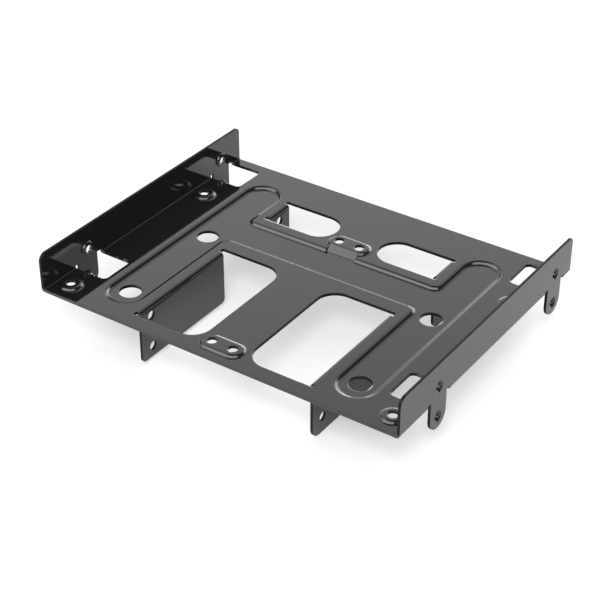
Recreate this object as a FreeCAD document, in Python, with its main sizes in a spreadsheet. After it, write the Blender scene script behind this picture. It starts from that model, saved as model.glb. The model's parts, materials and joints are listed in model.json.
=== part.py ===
import FreeCAD, Part
import math
import os

import Sketcher

# Drive bay adapter bracket, folded and pressed from one steel sheet.
#
# Modelling frame, in millimetres: X runs across the bay with 0 in the middle, Y runs back into the
# bay with 0 at the plate's near edge, and Z is up with 0 at the plate's top face. The body is then
# placed so that the finished part stands on Z = 0 with its origin in the middle of its box.

SIZES = {
    # Sheet and plate
    "bay_width": 146.05,
    "plate_depth": 115.0,
    "sheet": 1.0,
    "bend_radius": 0.4,
    # Side flanges, folded up
    "side_rise": 13.85,
    "near_corner": 3.0,
    "far_corner": 2.0,
    # Bay screw holes in the side flanges
    "bay_row_start": 23.65,
    "bay_pitch_along": 79.25,
    "bay_hole_rise": 4.74,
    "bay_pitch_down": 11.84,
    "bay_bore": 3.0,
    "collar_width": 5.8,
    "collar_height": 0.8,
    "collar_draft": 20.0,
    "funnel_width": 4.6,
    "funnel_draft": 45.0,
    # Tabs under the side flanges, and the windows that they were cut from
    "tab_width": 9.8,
    "tab_drop": 11.6,
    "tab_window_reach": 14.4,
    "tab_window_before": 6.7,
    "tab_window_after": 7.4,
    "tab_window_rise": 0.9,
    "tab_window_corner": 1.8,
    # Windows over the middle drive
    "spine_width": 18.9,
    "near_window_start": 6.1,
    "near_window_end": 56.85,
    "far_window_start": 82.7,
    "far_window_end": 97.75,
    "window_corner": 7.5,
    # Drive flanges, folded down
    "drive_gap": 70.0,
    "notch_reach": 0.3,
    "near_flange_start": 7.5,
    "near_flange_end": 54.75,
    "far_flange_start": 84.3,
    "far_flange_end": 96.2,
    "left_drop": 20.95,
    "right_drop": 22.9,
    "left_corner": 1.8,
    "right_corner": 4.0,
    # Screw holes of the middle drives
    "drive_row_start": 13.3,
    "drive_pitch_along": 76.6,
    "drive_hole_drop": 4.0,
    "drive_pitch_down": 12.7,
    "drive_bore": 3.5,
    # Recess pressed into the plate, with the wide drive's screw holes
    "recess_depth": 1.2,
    "recess_width": 13.9,
    "recess_start": 9.1,
    "recess_end": 102.7,
    "bar_start": 63.8,
    "bar_end": 77.8,
    "bar_corner": 3.0,
    "recess_draft": 38.0,
    "recess_edge_rise": 0.24,
    "recess_edge_draft": 71.0,
    "wide_pitch_across": 95.25,
    "wide_pitch_along": 44.45,
    "wide_row_start": 17.56,
    "wide_bore": 8.1,
    # Bosses and pads raised under the two drives on top
    "top_drive_spacing": 70.3,
    "top_pitch_across": 61.72,
    "top_pitch_along": 76.6,
    "top_row_start": 7.5,
    "top_bore": 3.5,
    "boss_reach": 3.9,
    "boss_height": 1.0,
    "boss_draft": 38.0,
    "boss_edge_rise": 0.2,
    "boss_edge_draft": 71.0,
    # Ramp from the far pad down into the recess
    "ramp_width": 12.2,
}


class Size:
    """A length together with the formula that ties it to the sheet of sizes."""

    def __init__(self, value, formula):
        self.value = value
        self.formula = formula

    def joined(self, other, sign, value):
        text = other.formula if isinstance(other, Size) else repr(other)
        return Size(value, f"({self.formula} {sign} {text})")

    def __add__(self, other):
        return self.joined(other, "+", self.value + number(other))

    def __sub__(self, other):
        return self.joined(other, "-", self.value - number(other))

    def __mul__(self, other):
        return self.joined(other, "*", self.value * number(other))

    def __truediv__(self, other):
        return self.joined(other, "/", self.value / number(other))

    def __neg__(self):
        return Size(-self.value, f"(-{self.formula})")

    def __rmul__(self, other):
        return self * other


def number(length):
    """The plain number of a length, which may be a Size already."""
    return length.value if isinstance(length, Size) else length


def size(name):
    """The named size, bound to its cell."""
    return Size(SIZES[name], f"sizes.{name}")


def tangent(angle):
    """The tangent of an angle in degrees, as a Size."""
    return Size(math.tan(math.radians(angle.value)), f"tan({angle.formula} * 1 deg)")


def cosine(angle):
    """The cosine of an angle in degrees, as a Size."""
    return Size(math.cos(math.radians(angle.value)), f"cos({angle.formula} * 1 deg)")


def hypotenuse(a, b):
    """The long side of a right triangle with the two short sides."""
    return Size(math.hypot(a.value, b.value), f"hypot({a.formula}; {b.formula})")


def wall_bands(depth, draft, edge_rise, edge_draft):
    """
    The three bands of a pressed wall's upper face, from its outer edge to its inner one: a gentle
    one, the main slope and a gentle one again. Each is given by its name, how far its outline is
    grown from the middle of the wall, where it starts, how far it rises or sinks, and its draft.
    """
    main = depth - edge_rise * 2
    grow = main * tangent(draft) / 2
    edge = edge_rise * tangent(edge_draft)
    return (("outer_band", grow + edge, edge_rise * 0, edge_rise, edge_draft),
            ("slope", grow, edge_rise, main, draft),
            ("inner_band", -grow, edge_rise + main, edge_rise, edge_draft))


def skin_across(draft):
    """
    How far a pressed wall's outline on the sheet's lower face stands off from the one on its
    upper face, where the wall leans by the draft and is as thick as the sheet.
    """
    return size("sheet") / cosine(draft) - size("sheet") * tangent(draft)


doc = FreeCAD.newDocument("drive_bay_bracket")

sheet = doc.addObject("Spreadsheet::Sheet", "sizes")
for row, (alias, value) in enumerate(SIZES.items(), start=1):
    sheet.set(f"A{row}", alias)
    sheet.set(f"B{row}", str(value))
    sheet.setAlias(f"B{row}", alias)
doc.recompute()

body = doc.addObject("PartDesign::Body", "bracket")
body.Label = "bracket"


# Sketch helpers

ROUND_END = "round end"
DISTANCES = ("DistanceX", "DistanceY")


def plane(role):
    """The body's own origin plane with the given role."""
    return next(item for item in body.Origin.OriginFeatures if item.Role == role)


def new_sketch(name, role, offset=None):
    """An empty sketch on an origin plane, moved along the plane's normal by the offset."""
    sketch = body.newObject("Sketcher::SketchObject", name)
    sketch.AttachmentSupport = [(plane(role), "")]
    sketch.MapMode = "FlatFace"
    if offset is not None:
        sketch.AttachmentOffset.Base = FreeCAD.Vector(0, 0, offset.value)
        sketch.setExpression("AttachmentOffset.Base.z", offset.formula)
    return sketch


def bind(sketch, kind, *where, length):
    """Adds a dimension to a sketch and ties it to the sheet of sizes."""
    index = sketch.addConstraint(Sketcher.Constraint(kind, *where, number(length)))
    if isinstance(length, Size):
        sketch.setExpression(f"Constraints[{index}]", length.formula)


def place(sketch, kind, geometry, point, length):
    """Holds a point at a distance from the sketch's origin, or on its axis where that is 0."""
    if isinstance(length, Size):
        bind(sketch, kind, -1, 1, geometry, point, length=length)
    else:
        axis = -1 if kind == "DistanceY" else -2
        sketch.addConstraint(Sketcher.Constraint("PointOnObject", geometry, point, axis))


def add_circle(sketch, x, y, radius):
    """A circle held at its centre."""
    middle = FreeCAD.Vector(number(x), number(y), 0)
    circle = Part.Circle(middle, FreeCAD.Vector(0, 0, 1), radius.value)
    index = sketch.addGeometry(circle, False)
    place(sketch, "DistanceX", index, 3, x)
    place(sketch, "DistanceY", index, 3, y)
    bind(sketch, "Radius", index, length=radius)


def arc_between(start, end, middle, bulge_x, bulge_y):
    """
    The arc round a middle point from start to end, and whether it runs from end to start.
    A half circle goes round the side that the bulge points to.
    """
    first = math.atan2(start[1] - middle[1], start[0] - middle[0])
    last = math.atan2(end[1] - middle[1], end[0] - middle[0])
    swept = (last - first) % (2 * math.pi)
    if abs(swept - math.pi) < 1e-6:
        turned = math.cos(first + swept / 2) * bulge_x + math.sin(first + swept / 2) * bulge_y < 0
    else:
        turned = swept > math.pi
    if turned:
        first, last = last, first
    centre = FreeCAD.Vector(middle[0], middle[1], 0)
    radius = math.hypot(start[0] - middle[0], start[1] - middle[1])
    circle = Part.Circle(centre, FreeCAD.Vector(0, 0, 1), radius)
    return Part.ArcOfCircle(circle, first, last), turned


def add_outline(sketch, corners):
    """
    A closed outline of lines along the two axes, given by its corners as (x, y, radius).
    A radius of None leaves the corner sharp. Two corners in a row with the radius ROUND_END
    share one half circle in place of the line between them.
    """
    count = len(corners)
    points = [(number(x), number(y)) for x, y, radius in corners]
    ahead = []
    for i in range(count):
        x0, y0 = points[i]
        x1, y1 = points[(i + 1) % count]
        reach = math.hypot(x1 - x0, y1 - y0)
        ahead.append(((x1 - x0) / reach, (y1 - y0) / reach))
    round_starts = []
    radii = [0 if radius in (None, ROUND_END) else radius.value for x, y, radius in corners]
    for i in range(count):
        if corners[i][2] == ROUND_END and i - 1 not in round_starts:
            round_starts.append(i)
            radii[i] = radii[i + 1] = math.dist(points[i], points[i + 1]) / 2
    lines = {}
    for i in range(count):
        if i in round_starts:
            continue
        j = (i + 1) % count
        start = [points[i][k] + ahead[i][k] * radii[i] for k in (0, 1)]
        end = [points[j][k] - ahead[i][k] * radii[j] for k in (0, 1)]
        line = sketch.addGeometry(segment_of(start, end), False)
        lines[i] = (line, start, end)
        upright = abs(ahead[i][0]) < abs(ahead[i][1])
        sketch.addConstraint(Sketcher.Constraint("Vertical" if upright else "Horizontal", line))
        axis = 0 if upright else 1
        place(sketch, DISTANCES[axis], line, 1, corners[i][axis])
    for i in lines:
        round_end = (i - 1) % count in round_starts
        before, start = lines[(i - 2 if round_end else i - 1) % count][::2]
        after, end = lines[i][:2]
        if corners[i][2] is None:
            sketch.addConstraint(Sketcher.Constraint("Coincident", before, 2, after, 1))
            continue
        if round_end:
            middle = [(start[k] + end[k]) / 2 for k in (0, 1)]
        else:
            middle = [start[k] + ahead[i][k] * radii[i] for k in (0, 1)]
        arc, turned = arc_between(start, end, middle, -ahead[i][0], -ahead[i][1])
        index = sketch.addGeometry(arc, False)
        sketch.addConstraint(Sketcher.Constraint("Tangent", before, 2, index, 2 if turned else 1))
        sketch.addConstraint(Sketcher.Constraint("Tangent", after, 1, index, 1 if turned else 2))
        if round_end:
            hold_round_end(sketch, index, corners[i - 1], corners[i], ahead[i])
        else:
            bind(sketch, "Radius", index, length=corners[i][2])


def hold_round_end(sketch, arc, first, second, ahead):
    """Holds a round end's middle where its half circle reaches as far as its two corners do."""
    axis = 1 if abs(ahead[1]) > abs(ahead[0]) else 0
    across = 1 - axis
    width = second[across] - first[across]
    radius = width / 2 if width.value > 0 else -width / 2
    middle = second[axis] + radius if ahead[axis] > 0 else second[axis] - radius
    place(sketch, DISTANCES[axis], arc, 3, middle)


def add_slot(sketch, x0, x1, y0, y1, radius):
    """An outline with round ends, whose end centres are (x0, y0) and (x1, y1) along one axis."""
    ends = [(number(x0), number(y0)), (number(x1), number(y1))]
    along = [ends[1][0] - ends[0][0], ends[1][1] - ends[0][1]]
    reach = math.hypot(*along)
    side = (-along[1] / reach * radius.value, along[0] / reach * radius.value)
    right = [(x - side[0], y - side[1]) for x, y in ends]
    left = [(x + side[0], y + side[1]) for x, y in ends]
    line_right = sketch.addGeometry(segment_of(right[0], right[1]), False)
    line_left = sketch.addGeometry(segment_of(left[1], left[0]), False)
    turn = math.atan2(-side[1], -side[0])
    axis = FreeCAD.Vector(0, 0, 1)
    centres = [FreeCAD.Vector(x, y, 0) for x, y in ends]
    far = Part.ArcOfCircle(Part.Circle(centres[1], axis, radius.value), turn, turn + math.pi)
    near = Part.ArcOfCircle(Part.Circle(centres[0], axis, radius.value), turn + math.pi,
                            turn + 2 * math.pi)
    far = sketch.addGeometry(far, False)
    near = sketch.addGeometry(near, False)
    for line, point, arc, end in ((line_right, 2, far, 1), (line_left, 1, far, 2),
                                  (line_left, 2, near, 1), (line_right, 1, near, 2)):
        sketch.addConstraint(Sketcher.Constraint("Tangent", line, point, arc, end))
    place(sketch, "DistanceX", near, 3, x0)
    place(sketch, "DistanceY", near, 3, y0)
    place(sketch, "DistanceX", far, 3, x1)
    place(sketch, "DistanceY", far, 3, y1)
    sketch.addConstraint(Sketcher.Constraint("Equal", near, far))
    bind(sketch, "Radius", near, length=radius)


def add_polygon(sketch, points):
    """A closed outline of straight lines, each of whose corners is held in place."""
    plain = [[number(x), number(y)] for x, y in points]
    lines = [sketch.addGeometry(segment_of(start, end), False)
             for start, end in zip(plain, plain[1:] + plain[:1])]
    for i, (x, y) in enumerate(points):
        sketch.addConstraint(Sketcher.Constraint("Coincident", lines[i - 1], 2, lines[i], 1))
        place(sketch, "DistanceX", lines[i], 1, x)
        place(sketch, "DistanceY", lines[i], 1, y)


def segment_of(start, end):
    """A line between two points of a sketch."""
    return Part.LineSegment(FreeCAD.Vector(*start, 0), FreeCAD.Vector(*end, 0))


# Feature helpers

def add_feature(kind, name, sketch, length, reverse=False, draft=None):
    """A pad or pocket of a sketch, along its normal or against it, with an optional draft."""
    feature = body.newObject(f"PartDesign::{kind}", name)
    feature.Profile = sketch
    feature.Reversed = reverse
    feature.Length = length.value
    feature.setExpression("Length", length.formula)
    if draft is not None:
        feature.TaperAngle = draft.value
        feature.setExpression("TaperAngle", draft.formula)
    sketch.Visibility = False
    body.Tip = feature
    return feature


def checked(feature, grows):
    """Recomputes the model and makes sure that the feature added or removed material."""
    before = feature.BaseFeature.Shape.Volume if feature.BaseFeature else 0
    doc.recompute()
    change = feature.Shape.Volume - before
    if (change > 0) != grows or abs(change) < 1e-6:
        raise RuntimeError(f"{feature.Name} changed the volume by {change:.3f}")
    print(f"{feature.Name}: {change:+.1f} mm3")
    return feature


def pad(name, sketch, length, reverse=False, draft=None):
    return checked(add_feature("Pad", name, sketch, length, reverse, draft), True)


def pocket(name, sketch, length, reverse=False, draft=None):
    return checked(add_feature("Pocket", name, sketch, length, reverse, draft), False)


def round_edges(name, radius, wanted):
    """Rounds every edge of the model so far for which wanted(edge) holds."""
    base = body.Tip
    names = [f"Edge{i}" for i, edge in enumerate(base.Shape.Edges, start=1) if wanted(edge)]
    feature = body.newObject("PartDesign::Fillet", name)
    feature.Base = (base, names)
    feature.Radius = radius.value
    feature.setExpression("Radius", radius.formula)
    body.Tip = feature
    return checked(feature, False)


# Sizes that follow from others

def rows(start, pitch):
    """The two places of a pair of rows, from the first one and the pitch."""
    return start, start + pitch


half_width = size("bay_width") / 2
skin = size("sheet")
bay_rows = rows(size("bay_row_start"), size("bay_pitch_along"))
drive_face = size("drive_gap") / 2
drive_rows = rows(size("drive_row_start"), size("drive_pitch_along"))
top_rows = rows(size("top_row_start"), size("top_pitch_along"))
wide_rows = rows(size("wide_row_start"), size("wide_pitch_along"))
top_outer = (size("top_drive_spacing") + size("top_pitch_across")) / 2
top_inner = (size("top_drive_spacing") - size("top_pitch_across")) / 2
recess_bands = wall_bands(size("recess_depth"), size("recess_draft"),
                          size("recess_edge_rise"), size("recess_edge_draft"))
boss_bands = wall_bands(size("boss_height"), size("boss_draft"),
                        size("boss_edge_rise"), size("boss_edge_draft"))
SIDES = (("left", -1), ("right", 1))


# The bracket's features, in the order in which it is formed

def side_section():
    """The plate with its two side flanges, as one folded section run back through the depth."""
    sketch = new_sketch("side_section", "XZ_Plane")
    rise = size("side_rise")
    inside = half_width - skin
    outer_bend = size("bend_radius") + skin
    inner_bend = size("bend_radius")
    add_outline(sketch, [
        (-half_width, rise, None),
        (-half_width, -skin, outer_bend),
        (half_width, -skin, outer_bend),
        (half_width, rise, None),
        (inside, rise, None),
        (inside, 0, inner_bend),
        (-inside, 0, inner_bend),
        (-inside, rise, None),
    ])
    pad("folded_plate", sketch, size("plate_depth"), reverse=True)
    for name, y in (("near_corner", 0.0), ("far_corner", SIZES["plate_depth"])):
        round_edges(f"{name}_round", size(name), thickness_edges(y=y, z=SIZES["side_rise"]))


def thickness_edges(**place):
    """A test for the edges that run through the sheet along X at the given y or z."""
    def wanted(edge):
        middle = edge.CenterOfMass
        here = all(abs(getattr(middle, axis) - value) < 1e-3 for axis, value in place.items())
        ends = [vertex.Point for vertex in edge.Vertexes]
        along = len(ends) == 2 and abs(abs(ends[1].x - ends[0].x) - edge.Length) < 1e-3
        return here and along and abs(edge.Length - SIZES["sheet"]) < 1e-3
    return wanted


def tab_windows():
    """The windows beside the side flanges that the tabs were cut from, with their notches."""
    sketch = new_sketch("tab_windows", "XY_Plane", size("tab_window_rise"))
    corner = size("tab_window_corner")
    for row in bay_rows:
        start = row - size("tab_window_before")
        end = row + size("tab_window_after")
        for name, side in SIDES:
            outside = (half_width + skin) * side
            inside = (half_width - size("tab_window_reach")) * side
            add_outline(sketch, [
                (outside, start, None),
                (inside, start, corner),
                (inside, end, corner),
                (outside, end, None),
            ])
    pocket("tab_window_cuts", sketch, size("tab_window_rise") + skin * 2)


def side_tabs():
    """Round-ended tabs in line with each side flange, which carry the lower bay holes."""
    radius = size("tab_width") / 2
    for name, side in SIDES:
        sketch = new_sketch(f"{name}_tabs", "YZ_Plane", half_width * side)
        for row in bay_rows:
            add_slot(sketch, row, row, radius - size("tab_drop"), size("tab_window_rise"), radius)
        pad(f"{name}_tab_pair", sketch, skin, reverse=side > 0)


def bay_holes():
    """Screw holes in the side flanges and tabs, drawn inwards into a collar with a funnel outside."""
    upper = size("bay_hole_rise")
    lower = upper - size("bay_pitch_down")
    places = [(row, z) for row in bay_rows for z in (upper, lower)]
    funnel_depth = (size("funnel_width") - size("bay_bore")) / 2 / tangent(size("funnel_draft"))
    for name, side in SIDES:
        collars = new_sketch(f"{name}_collars", "YZ_Plane", (half_width - skin) * side)
        bores = new_sketch(f"{name}_bay_bores", "YZ_Plane", half_width * side)
        funnels = new_sketch(f"{name}_funnels", "YZ_Plane", half_width * side)
        for y, z in places:
            add_circle(collars, y, z, size("collar_width") / 2)
            add_circle(bores, y, z, size("bay_bore") / 2)
            add_circle(funnels, y, z, size("funnel_width") / 2)
        pad(f"{name}_collar_set", collars, size("collar_height"), reverse=side > 0,
            draft=-size("collar_draft"))
        depth = skin + size("collar_height")
        pocket(f"{name}_bay_holes", bores, depth, reverse=side < 0)
        pocket(f"{name}_funnel_cuts", funnels, funnel_depth, reverse=side < 0,
               draft=-size("funnel_draft"))


def drive_windows():
    """The four windows in the plate that leave its middle spine over the drives."""
    sketch = new_sketch("drive_windows", "XY_Plane")
    corner = size("window_corner")
    bend_line = drive_face + size("bend_radius") + skin
    for name, side in SIDES:
        outside = (bend_line + size("notch_reach")) * side
        inside = size("spine_width") / 2 * side
        for reach in ("near", "far"):
            start = size(f"{reach}_window_start")
            end = size(f"{reach}_window_end")
            rounding = corner if reach == "near" else ROUND_END
            add_outline(sketch, [
                (outside, start, None),
                (inside, start, rounding),
                (inside, end, rounding),
                (outside, end, None),
            ])
    pocket("drive_window_cuts", sketch, skin * 2)


def drive_flanges():
    """The flanges folded down at the windows' outer edges, on both sides of the middle drives."""
    bend_line = drive_face + size("bend_radius") + skin
    for name, side in SIDES:
        face = drive_face * side
        back = (drive_face + skin) * side
        root = (bend_line + size("notch_reach")) * side
        low = -size(f"{name}_drop")
        for reach in ("near", "far"):
            start = size(f"{reach}_flange_start")
            length = size(f"{reach}_flange_end") - start
            sketch = new_sketch(f"{name}_{reach}_flange_section", "XZ_Plane", -start)
            add_outline(sketch, [
                (root, 0, None),
                (face, 0, size("bend_radius") + skin),
                (face, low, None),
                (back, low, None),
                (back, -skin, size("bend_radius")),
                (root, -skin, None),
            ])
            pad(f"{name}_{reach}_flange", sketch, length, reverse=True)
        round_edges(f"{name}_flange_corners", size(f"{name}_corner"), thickness_edges(z=low.value))


def drive_holes():
    """Screw holes for two drives, one above the other."""
    places = [(row, -size("drive_hole_drop") - size("drive_pitch_down") * level)
              for row in drive_rows for level in (0, 1)]
    for name, side in SIDES:
        sketch = new_sketch(f"{name}_drive_bores", "YZ_Plane", (drive_face + skin) * side)
        for y, z in places:
            add_circle(sketch, y, z, size("drive_bore") / 2)
        pocket(f"{name}_drive_holes", sketch, skin, reverse=side < 0)


def recess_outline(sketch, grow):
    """The recess's H shape: two round-ended legs joined by a bar, all grown by one distance."""
    across = size("wide_pitch_across") / 2
    half_leg = size("recess_width") / 2 + grow
    outer = across + half_leg
    inner = across - half_leg
    start = size("recess_start") - grow
    end = size("recess_end") + grow
    bar_start = size("bar_start") - grow
    bar_end = size("bar_end") + grow
    corner = size("bar_corner") - grow
    add_outline(sketch, [
        (-outer, start, ROUND_END),
        (-inner, start, ROUND_END),
        (-inner, bar_start, corner),
        (inner, bar_start, corner),
        (inner, start, ROUND_END),
        (outer, start, ROUND_END),
        (outer, end, ROUND_END),
        (inner, end, ROUND_END),
        (inner, bar_end, corner),
        (-inner, bar_end, corner),
        (-inner, end, ROUND_END),
        (-outer, end, ROUND_END),
    ])


def recess():
    """The recess, pressed down with sloping walls about as thick as the sheet."""
    depth = size("recess_depth")
    draft = size("recess_draft")
    middle = depth * tangent(draft) / 2
    under = new_sketch("recess_underside", "XY_Plane", -skin)
    recess_outline(under, middle + skin_across(draft))
    pad("recess_walls", under, depth, reverse=True, draft=-draft)
    for band, grow, start, rise, slope in recess_bands:
        top = new_sketch(f"recess_{band}_outline", "XY_Plane", -start)
        recess_outline(top, grow)
        pocket(f"recess_{band}", top, rise, draft=-slope)


def raised_places(sketch, radius):
    """The outlines of the four bosses and the two long pads, for the drives on top."""
    for row in top_rows:
        for name, side in SIDES:
            add_circle(sketch, top_outer * side, row, radius)
        add_slot(sketch, -top_inner, top_inner, row, row, radius)


def bosses():
    """Sloping bosses and pads raised from the plate, hollow below like any pressing."""
    height = size("boss_height")
    draft = size("boss_draft")
    middle = height * tangent(draft) / 2
    for band, grow, start, rise, slope in boss_bands:
        raised = new_sketch(f"boss_{band}_outlines", "XY_Plane", start)
        raised_places(raised, size("boss_reach") + grow)
        pad(f"boss_{band}", raised, rise, draft=-slope)
    hollow = new_sketch("boss_undersides", "XY_Plane", -skin)
    raised_places(hollow, size("boss_reach") + middle - skin_across(draft))
    pocket("boss_hollows", hollow, height, reverse=True, draft=-draft)


def ramp():
    """The ramp that joins the far pad's crown to the recess's floor, as thick as the sheet."""
    depth = size("recess_depth")
    height = size("boss_height")
    width = size("ramp_width")
    wall_end = size("bar_end") - recess_bands[0][1]
    foot = size("bar_end") + recess_bands[1][1]
    top = top_rows[1] - (size("boss_reach") - boss_bands[0][1])
    run = top - foot
    rise = depth + height
    thick = skin * hypotenuse(run, rise) / run
    knee = foot + (thick - skin) * run / rise
    section = new_sketch("ramp_section", "YZ_Plane", width / 2)
    add_polygon(section, [
        (foot, -depth),
        (top, height),
        (top, height - thick),
        (knee, -depth - skin),
        (foot, -depth - skin),
    ])
    pad("ramp", section, width, reverse=True)
    above = new_sketch("ramp_clearing", "YZ_Plane", width / 2)
    add_polygon(above, [
        (wall_end, -depth),
        (foot, -depth),
        (top, height),
        (wall_end, height),
    ])
    pocket("ramp_cut", above, width)


def plate_holes():
    """Screw holes through the bosses and pads, and the wide drive's holes in the recess."""
    top = new_sketch("top_bores", "XY_Plane", size("boss_height"))
    for row in top_rows:
        for x in (-top_outer, -top_inner, top_inner, top_outer):
            add_circle(top, x, row, size("top_bore") / 2)
    pocket("top_holes", top, size("boss_height") + skin)
    wide = new_sketch("wide_bores", "XY_Plane")
    for row in wide_rows:
        for name, side in SIDES:
            add_circle(wide, size("wide_pitch_across") / 2 * side, row, size("wide_bore") / 2)
    pocket("wide_holes", wide, size("recess_depth") + skin)


side_section()
bosses()
recess()
ramp()
tab_windows()
side_tabs()
bay_holes()
drive_windows()
drive_flanges()
drive_holes()
plate_holes()

# The finished part stands on its longest drive flanges, with its origin in the middle below
body.setExpression("Placement.Base.y", "0 - sizes.plate_depth / 2")
body.setExpression("Placement.Base.z", "max(sizes.left_drop; sizes.right_drop)")
doc.recompute()

for item in doc.Objects:
    if "Invalid" in item.State or "Error" in item.State:
        raise RuntimeError(f"{item.Name} failed: {item.State}")
shape = body.Shape
if shape.isNull() or not shape.isValid() or len(shape.Solids) != 1:
    raise RuntimeError("the bracket isn't one valid solid")
print(f"volume {shape.Volume:.1f} mm3, box {shape.BoundBox}")

os.makedirs("parts", exist_ok=True)
shape.exportStep(f"parts/{body.Label}.step")
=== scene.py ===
import json

import bpy
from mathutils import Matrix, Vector


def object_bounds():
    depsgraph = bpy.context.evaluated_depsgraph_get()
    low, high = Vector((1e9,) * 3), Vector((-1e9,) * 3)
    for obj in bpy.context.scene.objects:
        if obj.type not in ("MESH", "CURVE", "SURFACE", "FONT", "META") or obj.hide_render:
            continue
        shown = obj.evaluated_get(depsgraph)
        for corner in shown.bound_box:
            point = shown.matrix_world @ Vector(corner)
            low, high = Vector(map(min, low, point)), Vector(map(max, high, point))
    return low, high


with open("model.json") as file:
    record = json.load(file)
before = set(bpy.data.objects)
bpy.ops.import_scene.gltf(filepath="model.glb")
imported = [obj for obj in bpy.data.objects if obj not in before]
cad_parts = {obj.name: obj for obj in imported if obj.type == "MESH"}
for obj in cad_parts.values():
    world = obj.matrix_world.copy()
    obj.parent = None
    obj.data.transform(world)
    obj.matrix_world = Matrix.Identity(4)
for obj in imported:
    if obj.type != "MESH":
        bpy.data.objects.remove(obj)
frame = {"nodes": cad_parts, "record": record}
cad_box = [list(corner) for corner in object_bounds()]

# The photograph's view: the camera's place in metres of the row's frame and the direction it looks
# in, then its sensor and lens in millimetres
CAMERA_PLACE = (0.2680, -0.3945, 0.3313)
CAMERA_DIRECTION = (-0.4720, 0.6860, -0.5537)
CAMERA_SENSOR = 36.0
CAMERA_LENS = 97.065

# The gloss coating: two shades, as linear light, and two roughnesses, blended by a cloudy noise
COAT_SHADES = ((0.011, 0.011, 0.012, 1.0), (0.017, 0.017, 0.017, 1.0))
COAT_ROUGHNESS = (0.03, 0.07)
COAT_SPECULAR = 0.5
COAT_IOR = 1.68
# Painted shade: the sheet's cut edges get darker shades, more roughness and less shine, which stand in
# for the shade that they reflect
CUT_PAINTED_SHADES = ((0.006, 0.006, 0.006, 1.0), (0.010, 0.010, 0.010, 1.0))
CUT_ROUGHNESS = (0.30, 0.45)
CUT_SPECULAR = 0.10
# Scale, detail and roughness of the cloudy noise and of the fine one that lifts the surface, and
# how high that one lifts it, in metres
CLOUD = (38.0, 3.0, 0.55)
PEEL = (420.0, 2.0, 0.5)
PEEL_HEIGHT = 0.000004

# The sheet's thickness and inner bend radius, and the slack left when its faces are told apart,
# in metres
SHEET = 0.001
BEND_RADIUS = 0.0004
SLACK = 0.0001
# A face runs along an axis where its normal's part in that direction is under this
ACROSS = 0.1

# How far the rounding of an edge reaches, in metres, into an upright, a sloping and a flat face
UPRIGHT_ROUNDING = 0.0001
SLOPE_ROUNDING = 0.0005
FLAT_ROUNDING = 0.0007
# From upright to sloping and from sloping to flat, by the upward part of the face's normal
UPRIGHT_LEAN = (0.05, 0.20)
FLAT_LEAN = (0.96, 0.99)
ROUNDING_SAMPLES = 8

# The floor, the sky's even light and the lamp
WHITE = (1.0, 1.0, 1.0, 1.0)
FLOOR_REACH = 3.0
FLOOR_COLOUR = (0.86, 0.86, 0.86, 1.0)
FLOOR_ROUGHNESS = 0.9
FLOOR_GLOW_SEEN = 0.47
FLOOR_GLOW_REFLECTED = 0.32
SKY_LIGHT = 0.64
LAMP_PLACE = (0.50, -0.95, 1.15)
LAMP_TARGET = (0.0, 0.0, 0.02)
LAMP_SIDE = 0.45
LAMP_POWER = 8.0

# What the coating reflects: towards where, between which limits, and how bright. The limits of
# a direction are cosines, and those of a height are sines of the angle above the horizon.
UP = (0.0, 0.0, 1.0)
DARK_LEVEL = 0.08
# A lit wall behind the bracket, a little dimmer in its upper part
WALL_TOWARDS = (-0.707, 0.707, 0.0)
WALL_SPREAD = (0.10, 0.50)
WALL_TOP = (0.90, 0.84)
WALL_LEVEL = 1.14
WALL_FADE = (0.64, 0.49)
WALL_FADED = 0.78
# The wall's brighter foot, at the horizon
HORIZON_TOWARDS = (0.0, 1.0, 0.0)
HORIZON_SPREAD = (0.67, 0.88)
HORIZON_TOP = (0.45, 0.15)
HORIZON_LEVEL = 2.6
# A soft box in front of the bracket, with its middle height and its reach up and down
BOX_TOWARDS = (0.05, -1.0, 0.0)
BOX_SPREAD = (0.05, 0.30)
BOX_HEIGHT = 0.60
BOX_REACH = (0.34, 0.19)
BOX_LEVEL = 3.36


def node_of(tree, kind, **values):
    """Adds a shader node and sets the named inputs."""
    node = tree.nodes.new(kind)
    for name, value in values.items():
        node.inputs[name.replace("_", " ")].default_value = value
    return node


def reckon(tree, operation, *values):
    """The result of a calculation on numbers and other nodes' outputs."""
    node = node_of(tree, "ShaderNodeMath")
    node.operation = operation
    for socket, value in zip(node.inputs, values):
        if isinstance(value, float):
            socket.default_value = value
        else:
            tree.links.new(value, socket)
    return node.outputs["Value"]


def eased(tree, value, limits):
    """A smooth step from 0 at the first limit to 1 at the second."""
    step = node_of(tree, "ShaderNodeMapRange", From_Min=limits[0], From_Max=limits[1])
    step.interpolation_type = "SMOOTHSTEP"
    tree.links.new(value, step.inputs["Value"])
    return step.outputs["Result"]


def along(tree, ray, towards):
    """The cosine of the angle between the ray and a direction."""
    dot = node_of(tree, "ShaderNodeVectorMath")
    dot.operation = "DOT_PRODUCT"
    dot.inputs[1].default_value = Vector(towards).normalized()
    tree.links.new(ray, dot.inputs[0])
    return dot.outputs["Value"]


def noise(tree, scale, detail, roughness):
    """Noise that keeps its place on the object."""
    place = node_of(tree, "ShaderNodeTexCoord")
    pattern = node_of(tree, "ShaderNodeTexNoise", Scale=scale, Detail=detail, Roughness=roughness)
    tree.links.new(place.outputs["Object"], pattern.inputs["Vector"])
    return pattern.outputs["Fac"]


def fresh_material(name):
    """A material whose node tree holds only its output and a Principled shader."""
    material = bpy.data.materials.new(name)
    material.use_nodes = True
    tree = material.node_tree
    tree.nodes.clear()
    output = node_of(tree, "ShaderNodeOutputMaterial")
    shader = node_of(tree, "ShaderNodeBsdfPrincipled")
    tree.links.new(shader.outputs["BSDF"], output.inputs["Surface"])
    return material, tree, shader


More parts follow.
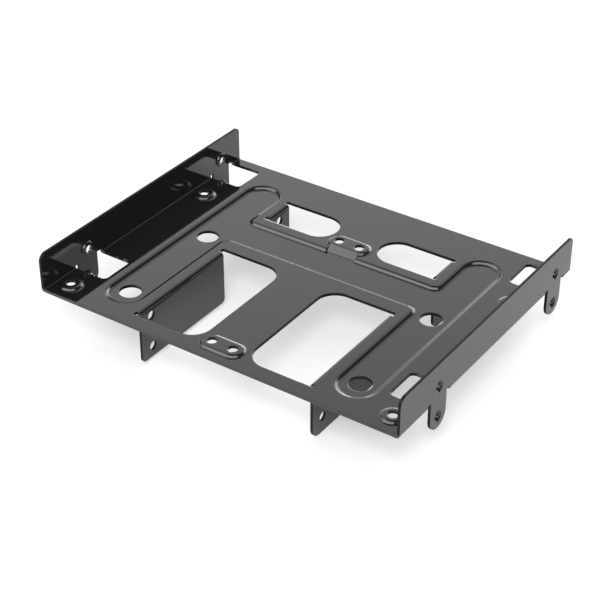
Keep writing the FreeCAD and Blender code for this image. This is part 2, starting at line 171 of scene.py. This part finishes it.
def rounded_edges(tree):
    """Normals that round the edges: widely on a flat face, less on a slope, barely on an upright one."""
    face = node_of(tree, "ShaderNodeNewGeometry")
    parts = node_of(tree, "ShaderNodeSeparateXYZ")
    tree.links.new(face.outputs["True Normal"], parts.inputs["Vector"])
    lean = reckon(tree, "ABSOLUTE", parts.outputs["Z"])
    slope = eased(tree, lean, UPRIGHT_LEAN)
    flat = eased(tree, lean, FLAT_LEAN)
    reach = reckon(tree, "MULTIPLY_ADD", slope, SLOPE_ROUNDING - UPRIGHT_ROUNDING, UPRIGHT_ROUNDING)
    reach = reckon(tree, "MULTIPLY_ADD", flat, FLAT_ROUNDING - SLOPE_ROUNDING, reach)
    edges = node_of(tree, "ShaderNodeBevel")
    edges.samples = ROUNDING_SAMPLES
    tree.links.new(reach, edges.inputs["Radius"])
    return edges.outputs["Normal"]


def black_coat(name, shades, roughness, specular):
    """Smooth black coating over steel, with the faint unevenness of a sprayed finish."""
    material, tree, shader = fresh_material(name)
    link = tree.links.new
    shader.inputs["IOR"].default_value = COAT_IOR
    shader.inputs["Specular IOR Level"].default_value = specular
    cloud = noise(tree, *CLOUD)
    rough = node_of(tree, "ShaderNodeMapRange", To_Min=roughness[0], To_Max=roughness[1])
    link(cloud, rough.inputs["Value"])
    link(rough.outputs["Result"], shader.inputs["Roughness"])
    tint = node_of(tree, "ShaderNodeMix")
    tint.data_type = "RGBA"
    tint.inputs["A"].default_value, tint.inputs["B"].default_value = shades
    link(cloud, tint.inputs["Factor"])
    link(tint.outputs["Result"], shader.inputs["Base Color"])
    relief = node_of(tree, "ShaderNodeBump", Distance=PEEL_HEIGHT)
    link(noise(tree, *PEEL), relief.inputs["Height"])
    link(rounded_edges(tree), relief.inputs["Normal"])
    link(relief.outputs["Normal"], shader.inputs["Normal"])
    return material


def mount_place(name):
    """Where the record says that a mount is."""
    return next(mount["pos_m"] for mount in frame["record"]["mounts"] if mount["name"] == name)


def sheet_places():
    """
    Between which limits the sheet lies across the side flanges, across the drive flanges and up the
    pressed plate. The mounts that it asks for lie on the sheet's outer and upper faces.
    """
    side = cad_box[1][0]
    drive = mount_place("middle_drive_holes_right")[0]
    recess = mount_place("wide_drive_holes")[2]
    boss = mount_place("top_drive_holes_right")[2]
    return ((side - SHEET - SLACK, side + SLACK), (drive - SHEET - SLACK, drive + SLACK),
            (recess - SHEET - SLACK, boss + SLACK))


def within(values, limits):
    """Whether all values lie between two limits."""
    return limits[0] <= min(values) and max(values) <= limits[1]


def on_cut_edge(face, points, places):
    """
    Whether a face lies across the sheet's thickness, where the sheet was cut or punched. Faces of the
    plate's edges that reach a side bend don't count: they keep the gloss coating.
    """
    side, drive, plate = places
    bend = side[0] - BEND_RADIUS
    aside = [abs(point.x) for point in points]
    heights = [point.z for point in points]
    if abs(face.normal.x) < ACROSS and (within(aside, side) or within(aside, drive)):
        return not within(heights, plate)
    return abs(face.normal.z) < ACROSS and max(aside) < bend and within(heights, plate)


def dress_bracket():
    """The gloss coating, with a darker, duller one on the faces that on_cut_edge picks: painted shade on
    the cut edges.
    """
    mesh = frame["nodes"]["bracket"].data
    mesh.materials.clear()
    mesh.materials.append(black_coat("black_coat", COAT_SHADES, COAT_ROUGHNESS, COAT_SPECULAR))
    # The cut edges' material is painted shade: darker and less shiny than the gloss coating
    mesh.materials.append(black_coat("cut_edge_painted_shade", CUT_PAINTED_SHADES, CUT_ROUGHNESS, CUT_SPECULAR))
    places = sheet_places()
    for face in mesh.polygons:
        points = [mesh.vertices[i].co for i in face.vertices]
        face.material_index = int(on_cut_edge(face, points, places))


def pale_floor():
    """A pale floor that keeps the bracket's shadow and fades to white for the camera."""
    low = cad_box[0][2]
    corners = [(x * FLOOR_REACH, y * FLOOR_REACH, low) for x, y in ((-1, -1), (1, -1), (1, 1), (-1, 1))]
    mesh = bpy.data.meshes.new("floor")
    mesh.from_pydata(corners, [], [range(len(corners))])
    floor = bpy.data.objects.new("floor", mesh)
    bpy.context.scene.collection.objects.link(floor)
    material, tree, shader = fresh_material("pale_floor")
    shader.inputs["Base Color"].default_value = FLOOR_COLOUR
    shader.inputs["Roughness"].default_value = FLOOR_ROUGHNESS
    shader.inputs["Specular IOR Level"].default_value = 0.0
    shader.inputs["Emission Color"].default_value = WHITE
    path = node_of(tree, "ShaderNodeLightPath").outputs
    seen = reckon(tree, "MAXIMUM", path["Is Camera Ray"], path["Is Transmission Ray"])
    seen = reckon(tree, "MULTIPLY", seen, FLOOR_GLOW_SEEN)
    glow = reckon(tree, "MULTIPLY_ADD", path["Is Glossy Ray"], FLOOR_GLOW_REFLECTED, seen)
    tree.links.new(glow, shader.inputs["Emission Strength"])
    mesh.materials.append(material)


def lit_wall(tree, ray, height):
    """The reflected wall, with its bright foot, and the dark studio around it."""
    foot = eased(tree, along(tree, ray, HORIZON_TOWARDS), HORIZON_SPREAD)
    foot = reckon(tree, "MULTIPLY", foot, eased(tree, height, HORIZON_TOP))
    level = reckon(tree, "MULTIPLY_ADD", foot, HORIZON_LEVEL, WALL_LEVEL)
    fade = eased(tree, height, WALL_FADE)
    fade = reckon(tree, "MULTIPLY_ADD", fade, 1.0 - WALL_FADED, WALL_FADED)
    level = reckon(tree, "MULTIPLY", level, fade)
    wall = eased(tree, along(tree, ray, WALL_TOWARDS), WALL_SPREAD)
    wall = reckon(tree, "MULTIPLY", wall, level)
    return reckon(tree, "MULTIPLY_ADD", wall, eased(tree, height, WALL_TOP), DARK_LEVEL)


def soft_box(tree, ray, height):
    """The reflected soft box in front, from 0 to 1."""
    across = eased(tree, along(tree, ray, BOX_TOWARDS), BOX_SPREAD)
    off_middle = reckon(tree, "ABSOLUTE", reckon(tree, "SUBTRACT", height, BOX_HEIGHT))
    return reckon(tree, "MULTIPLY", across, eased(tree, off_middle, BOX_REACH))


def white_world():
    """Even light all round, and a white background that the coating reflects as a lit studio."""
    world = bpy.data.worlds.new("studio")
    bpy.context.scene.world = world
    world.use_nodes = True
    tree = world.node_tree
    tree.nodes.clear()
    link = tree.links.new
    path = node_of(tree, "ShaderNodeLightPath").outputs
    seen = reckon(tree, "MAXIMUM", path["Is Camera Ray"], path["Is Glossy Ray"])
    seen = reckon(tree, "MAXIMUM", seen, path["Is Transmission Ray"])
    light = node_of(tree, "ShaderNodeBackground", Color=WHITE, Strength=SKY_LIGHT)
    shown = node_of(tree, "ShaderNodeBackground", Color=WHITE)
    mix = node_of(tree, "ShaderNodeMixShader")
    output = node_of(tree, "ShaderNodeOutputWorld")
    link(seen, mix.inputs["Fac"])
    link(light.outputs["Background"], mix.inputs[1])
    link(shown.outputs["Background"], mix.inputs[2])
    link(mix.outputs["Shader"], output.inputs["Surface"])
    ray = node_of(tree, "ShaderNodeTexCoord").outputs["Generated"]
    height = along(tree, ray, UP)
    box = soft_box(tree, ray, height)
    reflected = reckon(tree, "MULTIPLY_ADD", box, BOX_LEVEL, lit_wall(tree, ray, height))
    strength = node_of(tree, "ShaderNodeMix", B=1.0)
    link(path["Is Camera Ray"], strength.inputs["Factor"])
    link(reflected, strength.inputs["A"])
    link(strength.outputs["Result"], shown.inputs["Strength"])


def place_in_scene(name, data, place, direction):
    """A new camera or lamp at a place, looking along a direction."""
    thing = bpy.data.objects.new(name, data)
    thing.location = place
    thing.rotation_mode = "QUATERNION"
    thing.rotation_quaternion = Vector(direction).to_track_quat("-Z", "Y")
    bpy.context.scene.collection.objects.link(thing)
    return thing


def front_lamp():
    """A square soft lamp in front, which the coating doesn't reflect."""
    data = bpy.data.lights.new("front_box", "AREA")
    data.shape = "SQUARE"
    data.size = LAMP_SIDE
    data.energy = LAMP_POWER
    lamp = place_in_scene("front_box", data, LAMP_PLACE, Vector(LAMP_TARGET) - Vector(LAMP_PLACE))
    lamp.visible_glossy = False


def photo_camera():
    """The camera at the photograph's place and angle."""
    data = bpy.data.cameras.new("camera")
    data.sensor_width = CAMERA_SENSOR
    data.lens = CAMERA_LENS
    bpy.context.scene.camera = place_in_scene("camera", data, CAMERA_PLACE, CAMERA_DIRECTION)


dress_bracket()
pale_floor()
white_world()
front_lamp()
photo_camera()
bpy.context.scene.view_settings.view_transform = "Standard"
